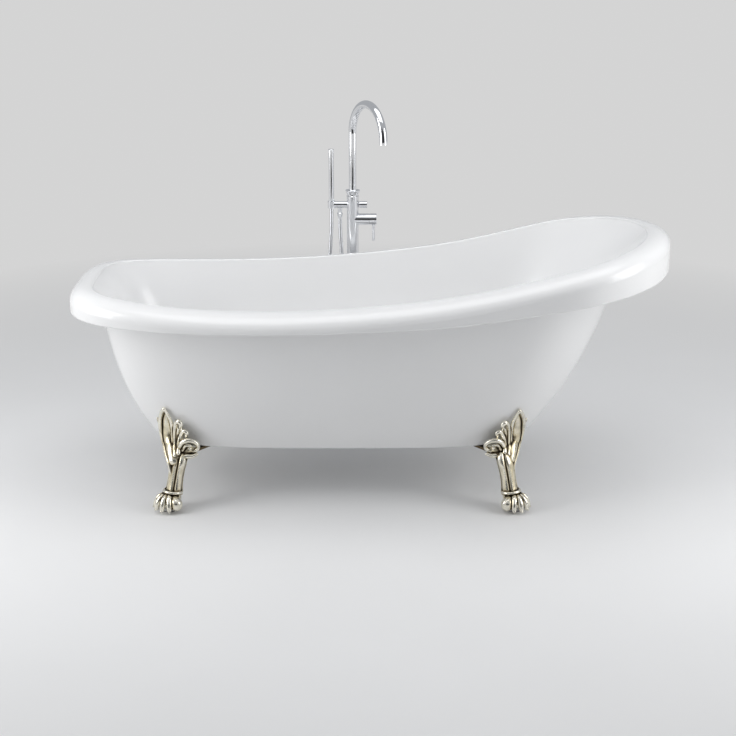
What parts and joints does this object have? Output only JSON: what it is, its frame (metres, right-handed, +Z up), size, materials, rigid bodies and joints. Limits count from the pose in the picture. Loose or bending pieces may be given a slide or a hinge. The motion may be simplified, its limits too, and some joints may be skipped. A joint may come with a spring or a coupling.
{
  "type": "clawfoot bathtub",
  "caption": "Freestanding slipper bath with a rolled rim on claw feet, with a floor-standing filler that has a swivel spout, lever mixer and lift-off hand shower.",
  "frame": {"origin": "on the floor, under the middle of the bounding box of the bath and its filler, measured without the free hose", "axes": "+X along the bath to its raised head end, -Y to the front, +Z up; the filler stands behind the bath at +Y"},
  "size_m": [1.7001, 0.8804, 1.0704],
  "materials": {
    "basin_acrylic": "high gloss white acrylic",
    "hull_acrylic": "gloss white acrylic",
    "board": "raw board",
    "insert_brass": "machined",
    "fastener_steel": "zinc plated",
    "waste_chrome": "polished",
    "seal_rubber": "matt",
    "waste_brass": "machined",
    "tap_chrome": "polished",
    "pipe_steel": "satin",
    "cartridge_ceramic": "fine ground",
    "aerator_plastic": "matt",
    "hose_chrome": "polished spiral",
    "foot_brass": "antique patina"
  },
  "bodies": {
    "bath_and_stand": {"tub_basin": "basin_acrylic", "outer_shell": "hull_acrylic", "base_board": "board", "board_inserts": "insert_brass", "foot_bolts": "fastener_steel", "foot_washers": "fastener_steel", "waste_body": "waste_chrome", "waste_seal_upper": "seal_rubber", "waste_seal_lower": "seal_rubber", "waste_backnut": "waste_brass", "plug_guide": "waste_brass", "floor_plate": "tap_chrome", "inlet_block": "waste_brass", "supply_pipe_cold": "pipe_steel", "supply_pipe_hot": "pipe_steel", "column": "tap_chrome", "valve_block": "waste_brass", "mixer_body": "tap_chrome", "mixer_cartridge": "cartridge_ceramic", "handset_arm": "tap_chrome", "spout_collar": "tap_chrome", "hose_nut": "tap_chrome", "shower_hose": "hose_chrome", "foot_front_left": "foot_brass", "foot_front_right": "foot_brass", "foot_back_left": "foot_brass", "foot_back_right": "foot_brass"},
    "plug": {"waste_plug": "waste_chrome", "plug_seal": "seal_rubber"},
    "mixer_cap": {"mixer_cap": "tap_chrome"},
    "mixer_lever": {"mixer_lever": "tap_chrome"},
    "diverter": {"diverter_knob": "tap_chrome"},
    "spout": {"spout": "tap_chrome", "aerator": "aerator_plastic"},
    "handset": {"handset_body": "tap_chrome", "handset_cone": "tap_chrome"},
    "leveller_front_left": {"leveller_front_left": "fastener_steel", "glide_pad_front_left": "seal_rubber"},
    "leveller_front_right": {"leveller_front_right": "fastener_steel", "glide_pad_front_right": "seal_rubber"},
    "leveller_back_left": {"leveller_back_left": "fastener_steel", "glide_pad_back_left": "seal_rubber"},
    "leveller_back_right": {"leveller_back_right": "fastener_steel", "glide_pad_back_right": "seal_rubber"}
  },
  "joints": [
    {"name": "level_front_left", "type": "slide", "parent": "bath_and_stand", "child": "leveller_front_left", "axis": [0, 0, -1], "range_m": [0, 0.012]},
    {"name": "level_front_right", "type": "slide", "parent": "bath_and_stand", "child": "leveller_front_right", "axis": [0, 0, -1], "range_m": [0, 0.012]},
    {"name": "level_back_left", "type": "slide", "parent": "bath_and_stand", "child": "leveller_back_left", "axis": [0, 0, -1], "range_m": [0, 0.012]},
    {"name": "level_back_right", "type": "slide", "parent": "bath_and_stand", "child": "leveller_back_right", "axis": [0, 0, -1], "range_m": [0, 0.012]},
    {"name": "plug_lift", "type": "slide", "parent": "bath_and_stand", "child": "plug", "axis": [0, 0, 1], "range_m": [0, 0.01]},
    {"name": "temperature_turn", "type": "hinge", "parent": "bath_and_stand", "child": "mixer_cap", "pos_m": [0.011, 0.385, 0.686], "axis": [1, 0, 0], "range_deg": [-45, 45]},
    {"name": "flow_lift", "type": "hinge", "parent": "mixer_cap", "child": "mixer_lever", "pos_m": [0.011, 0.385, 0.674], "axis": [0, -1, 0], "range_deg": [0, 20]},
    {"name": "diverter_turn", "type": "hinge", "parent": "bath_and_stand", "child": "diverter", "pos_m": [-0.02, 0.385, 0.733], "axis": [1, 0, 0], "range_deg": [0, 90]},
    {"name": "spout_swivel", "type": "hinge", "parent": "bath_and_stand", "child": "spout", "pos_m": [-0.055, 0.385, 0.8], "axis": [0, 0, 1], "range_deg": [-120, 120]},
    {"name": "handset_lift", "type": "slide", "parent": "bath_and_stand", "child": "handset", "axis": [0, 0, 1], "range_m": [0, 0.25], "deforming": ["shower_hose"]}
  ]
}
